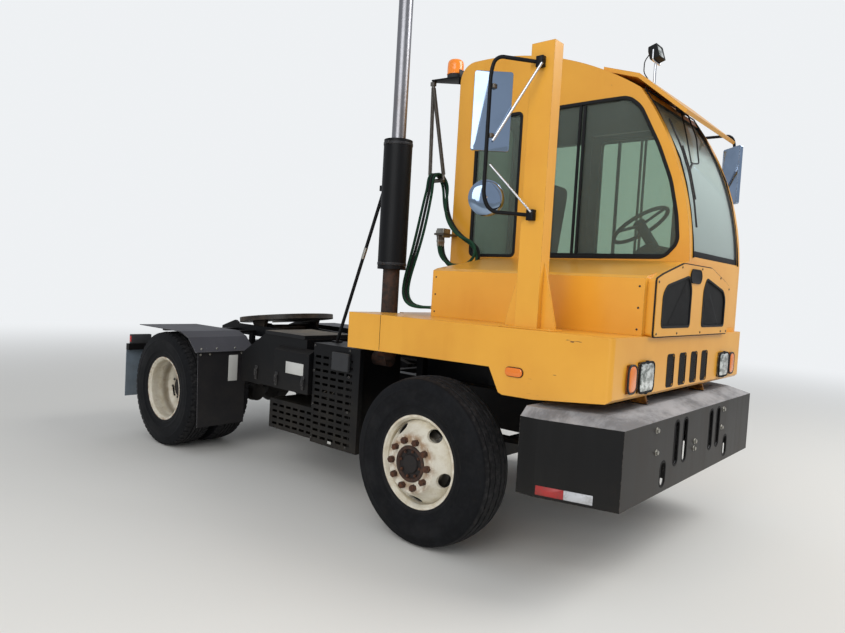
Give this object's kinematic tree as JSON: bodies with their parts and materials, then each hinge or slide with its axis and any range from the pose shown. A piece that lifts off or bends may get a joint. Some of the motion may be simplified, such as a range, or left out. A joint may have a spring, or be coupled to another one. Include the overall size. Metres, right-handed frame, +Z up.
{
  "type": "terminal tractor",
  "caption": "Yard tractor with a narrow cab beside its engine hood, steered front wheels, twin rear wheels, and a fifth wheel on a lifting boom.",
  "frame": {"origin": "on the ground below the middle of the machine's box", "axes": "+X forward, +Y to the driver's left, +Z up"},
  "size_m": [5.09, 2.612, 3.75],
  "materials": {
    "body_paint": "yellow-orange enamel, satin, dusty",
    "frame_paint": "black chassis paint, dusty",
    "bumper_paint": "dark grey paint with streaks and scuffs",
    "wheel_paint": "cream white enamel with rusty hub",
    "tyre_rubber": "black tyre rubber, dusty tread",
    "bare_steel": "worn bare steel",
    "chrome": "polished stainless steel",
    "glass": "tinted cab glass",
    "mesh_black": "black mesh",
    "lamp_clear": "clear lamp lens",
    "lamp_amber": "amber lens",
    "seat_fabric": "dark seat cloth",
    "interior_plastic": "dark grey moulding",
    "fender_steel": "worn grey-brown sheet",
    "flap_rubber": "grey-blue rubber sheet",
    "hose_rubber": "black and dark green hose"
  },
  "bodies": {
    "chassis": {"frame_rails": "frame_paint", "front_bumper": "bumper_paint", "lower_body": "body_paint", "engine_hood": "body_paint", "front_cover": "body_paint", "cover_mesh": "mesh_black", "front_axle": "frame_paint", "rear_axle": "frame_paint", "engine_block": "frame_paint", "cab_side_right": "body_paint", "cab_side_left": "body_paint", "cab_rear_wall": "body_paint", "cab_roof": "body_paint", "cab_floor": "interior_plastic", "cab_front": "body_paint", "windscreen_glass": "glass", "side_glass": "glass", "seat_cushions": "seat_fabric", "dashboard": "interior_plastic", "mirror_post": "body_paint", "mirror_frames": "frame_paint", "mirror_heads": "chrome", "sun_visor": "body_paint", "headlamps": "lamp_clear", "signal_lamps": "lamp_amber", "beacon": "lamp_amber", "hose_supports": "bare_steel", "rear_fenders": "fender_steel", "mud_flaps": "flap_rubber", "battery_box": "frame_paint", "fuel_tank": "frame_paint", "left_steps": "frame_paint", "guard_panel": "frame_paint", "exhaust_pipe": "bare_steel", "heat_shield": "frame_paint", "supply_hose": "hose_rubber", "service_hose": "hose_rubber", "power_cable": "hose_rubber"},
    "knuckle_right": {"knuckle_right": "frame_paint"},
    "knuckle_left": {"knuckle_left": "frame_paint"},
    "tie_rod": {"tie_rod": "frame_paint"},
    "wheel_front_right": {"front_wheel_right": "wheel_paint", "front_tyre_right": "tyre_rubber"},
    "wheel_front_left": {"front_wheel_left": "wheel_paint", "front_tyre_left": "tyre_rubber"},
    "wheel_rear_right": {"rear_wheels_right": "wheel_paint", "rear_tyres_right": "tyre_rubber"},
    "wheel_rear_left": {"rear_wheels_left": "wheel_paint", "rear_tyres_left": "tyre_rubber"},
    "steering_wheel": {"steering_wheel": "interior_plastic"},
    "left_door": {"left_door": "body_paint", "left_door_glass": "glass"},
    "rear_door": {"rear_door": "body_paint", "rear_door_glass": "glass"},
    "battery_lid": {"battery_lid": "frame_paint"},
    "lift_boom": {"lift_boom": "frame_paint", "boom_ties": "frame_paint"},
    "lift_barrels": {"lift_barrels": "frame_paint"},
    "lift_rods": {"lift_rods": "chrome"},
    "fifth_wheel": {"fifth_wheel": "bare_steel"}
  },
  "joints": [
    {"name": "steer_right", "type": "hinge", "parent": "chassis", "child": "knuckle_right", "pos_m": [1.295, -0.905, 0.52], "axis": [0, 0, 1], "range_deg": [-35, 35]},
    {"name": "steer_left", "type": "hinge", "parent": "chassis", "child": "knuckle_left", "pos_m": [1.295, 0.905, 0.52], "axis": [0, 0, 1], "range_deg": [-35, 35]},
    {"name": "tie_rod_joint", "type": "hinge", "parent": "knuckle_right", "child": "tie_rod", "pos_m": [1.09, -0.905, 0.373], "axis": [0, 0, 1], "range_deg": [-35, 35]},
    {"name": "steering_wheel_turn", "type": "hinge", "parent": "chassis", "child": "steering_wheel", "pos_m": [1.855, 0.52, 2.13], "axis": [-0.5736, 0, 0.8192], "range_deg": [-700, 700]},
    {"name": "spin_front_right", "type": "hinge", "parent": "knuckle_right", "child": "wheel_front_right", "pos_m": [1.295, -1.1, 0.52], "axis": [0, 1, 0], "continuous": true},
    {"name": "spin_front_left", "type": "hinge", "parent": "knuckle_left", "child": "wheel_front_left", "pos_m": [1.295, 1.1, 0.52], "axis": [0, 1, 0], "continuous": true},
    {"name": "spin_rear_right", "type": "hinge", "parent": "chassis", "child": "wheel_rear_right", "pos_m": [-1.805, -0.935, 0.52], "axis": [0, 1, 0], "continuous": true},
    {"name": "spin_rear_left", "type": "hinge", "parent": "chassis", "child": "wheel_rear_left", "pos_m": [-1.805, 0.935, 0.52], "axis": [0, 1, 0], "continuous": true},
    {"name": "left_door_hinge", "type": "hinge", "parent": "chassis", "child": "left_door", "pos_m": [1.985, 1.075, 2.24], "axis": [0, 0, -1], "range_deg": [0, 80]},
    {"name": "rear_door_hinge", "type": "hinge", "parent": "chassis", "child": "rear_door", "pos_m": [0.483, 0.86, 2.24], "axis": [0, 0, -1], "range_deg": [0, 85]},
    {"name": "battery_lid_hinge", "type": "hinge", "parent": "chassis", "child": "battery_lid", "pos_m": [-0.42, -0.446, 1.138], "axis": [-1, 0, 0], "range_deg": [0, 70]},
    {"name": "boom_lift", "type": "hinge", "parent": "chassis", "child": "lift_boom", "pos_m": [-0.185, 0, 0.8], "axis": [0, 1, 0], "range_deg": [0, 16]},
    {"name": "barrel_swing", "type": "hinge", "parent": "chassis", "child": "lift_barrels", "pos_m": [-0.625, 0, 0.7], "axis": [0, 1, 0], "range_deg": [0, 25]},
    {"name": "rod_extend", "type": "slide", "parent": "lift_barrels", "child": "lift_rods", "axis": [-0.8, 0, 0.6], "range_m": [0, 0.12]},
    {"name": "fifth_wheel_tilt", "type": "hinge", "parent": "lift_boom", "child": "fifth_wheel", "pos_m": [-1.605, 0, 1.085], "axis": [0, 1, 0], "range_deg": [0, 13]}
  ],
  "couplings": [
    {"joint": "steer_left", "follows": "steer_right", "ratio": 1},
    {"joint": "tie_rod_joint", "follows": "steer_right", "ratio": -1},
    {"joint": "steering_wheel_turn", "follows": "steer_right", "ratio": 20},
    {"joint": "barrel_swing", "follows": "boom_lift", "ratio": 1.3952},
    {"joint": "rod_extend", "follows": "boom_lift", "m_per_rad": 0.39334}
  ]
}
